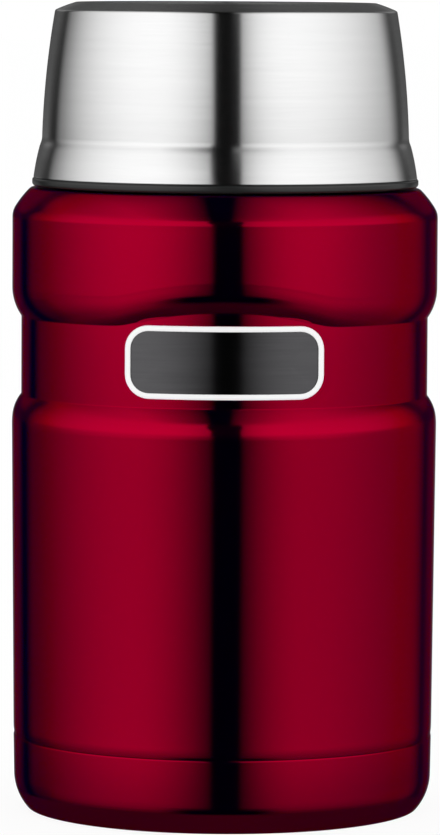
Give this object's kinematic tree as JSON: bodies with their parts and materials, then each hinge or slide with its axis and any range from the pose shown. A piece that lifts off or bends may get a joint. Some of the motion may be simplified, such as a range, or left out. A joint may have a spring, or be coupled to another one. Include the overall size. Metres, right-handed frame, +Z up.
{
  "type": "insulated food jar",
  "caption": "Vacuum-insulated steel food jar with a pressed waist, bare badge, insulated screw-in stopper and a screw-on steel lid that serves as the bowl.",
  "frame": {"origin": "centre of the foot, on the plane that the jar stands on", "axes": "+Z up along the jar's axis, -Y towards the badge, +X to the right seen from the badge's side"},
  "size_m": [0.1012, 0.1012, 0.1922],
  "materials": {
    "red_lacquer": "clear-coated red metallic lacquer, glossy",
    "brushed_steel": "brushed round the axis",
    "vessel_steel": "satin",
    "seal_bead": "fused glass frit",
    "foil": "bright foil",
    "getter": "pressed powder, matt",
    "pad": "foam tape",
    "badge": "dark satin field with a bright rim",
    "stopper_plastic": "fine texture",
    "foam": "rigid foam",
    "silicone": "translucent silicone",
    "liner_plastic": "satin",
    "ring_plastic": "satin gloss"
  },
  "bodies": {
    "jar": {"outer_shell": "red_lacquer", "base_cap": "red_lacquer", "vacuum_seal": "seal_bead", "inner_vessel": "vessel_steel", "radiation_foil": "foil", "getter_holder": "vessel_steel", "getter_pellet": "getter", "badge_pad": "pad", "badge_plate": "badge"},
    "stopper": {"stopper_plug": "stopper_plastic", "stopper_cap": "stopper_plastic", "stopper_foam": "foam", "stopper_gasket": "silicone"},
    "bowl_lid": {"bowl_shell": "brushed_steel", "bowl_liner": "liner_plastic", "rim_ring": "ring_plastic"}
  },
  "joints": [
    {"name": "stopper_lift", "type": "slide", "parent": "jar", "child": "stopper", "axis": [0, 0, 1], "range_m": [0, 0.08]},
    {"name": "lid_lift", "type": "slide", "parent": "stopper", "child": "bowl_lid", "axis": [0, 0, 1], "range_m": [0, 0.08]}
  ]
}
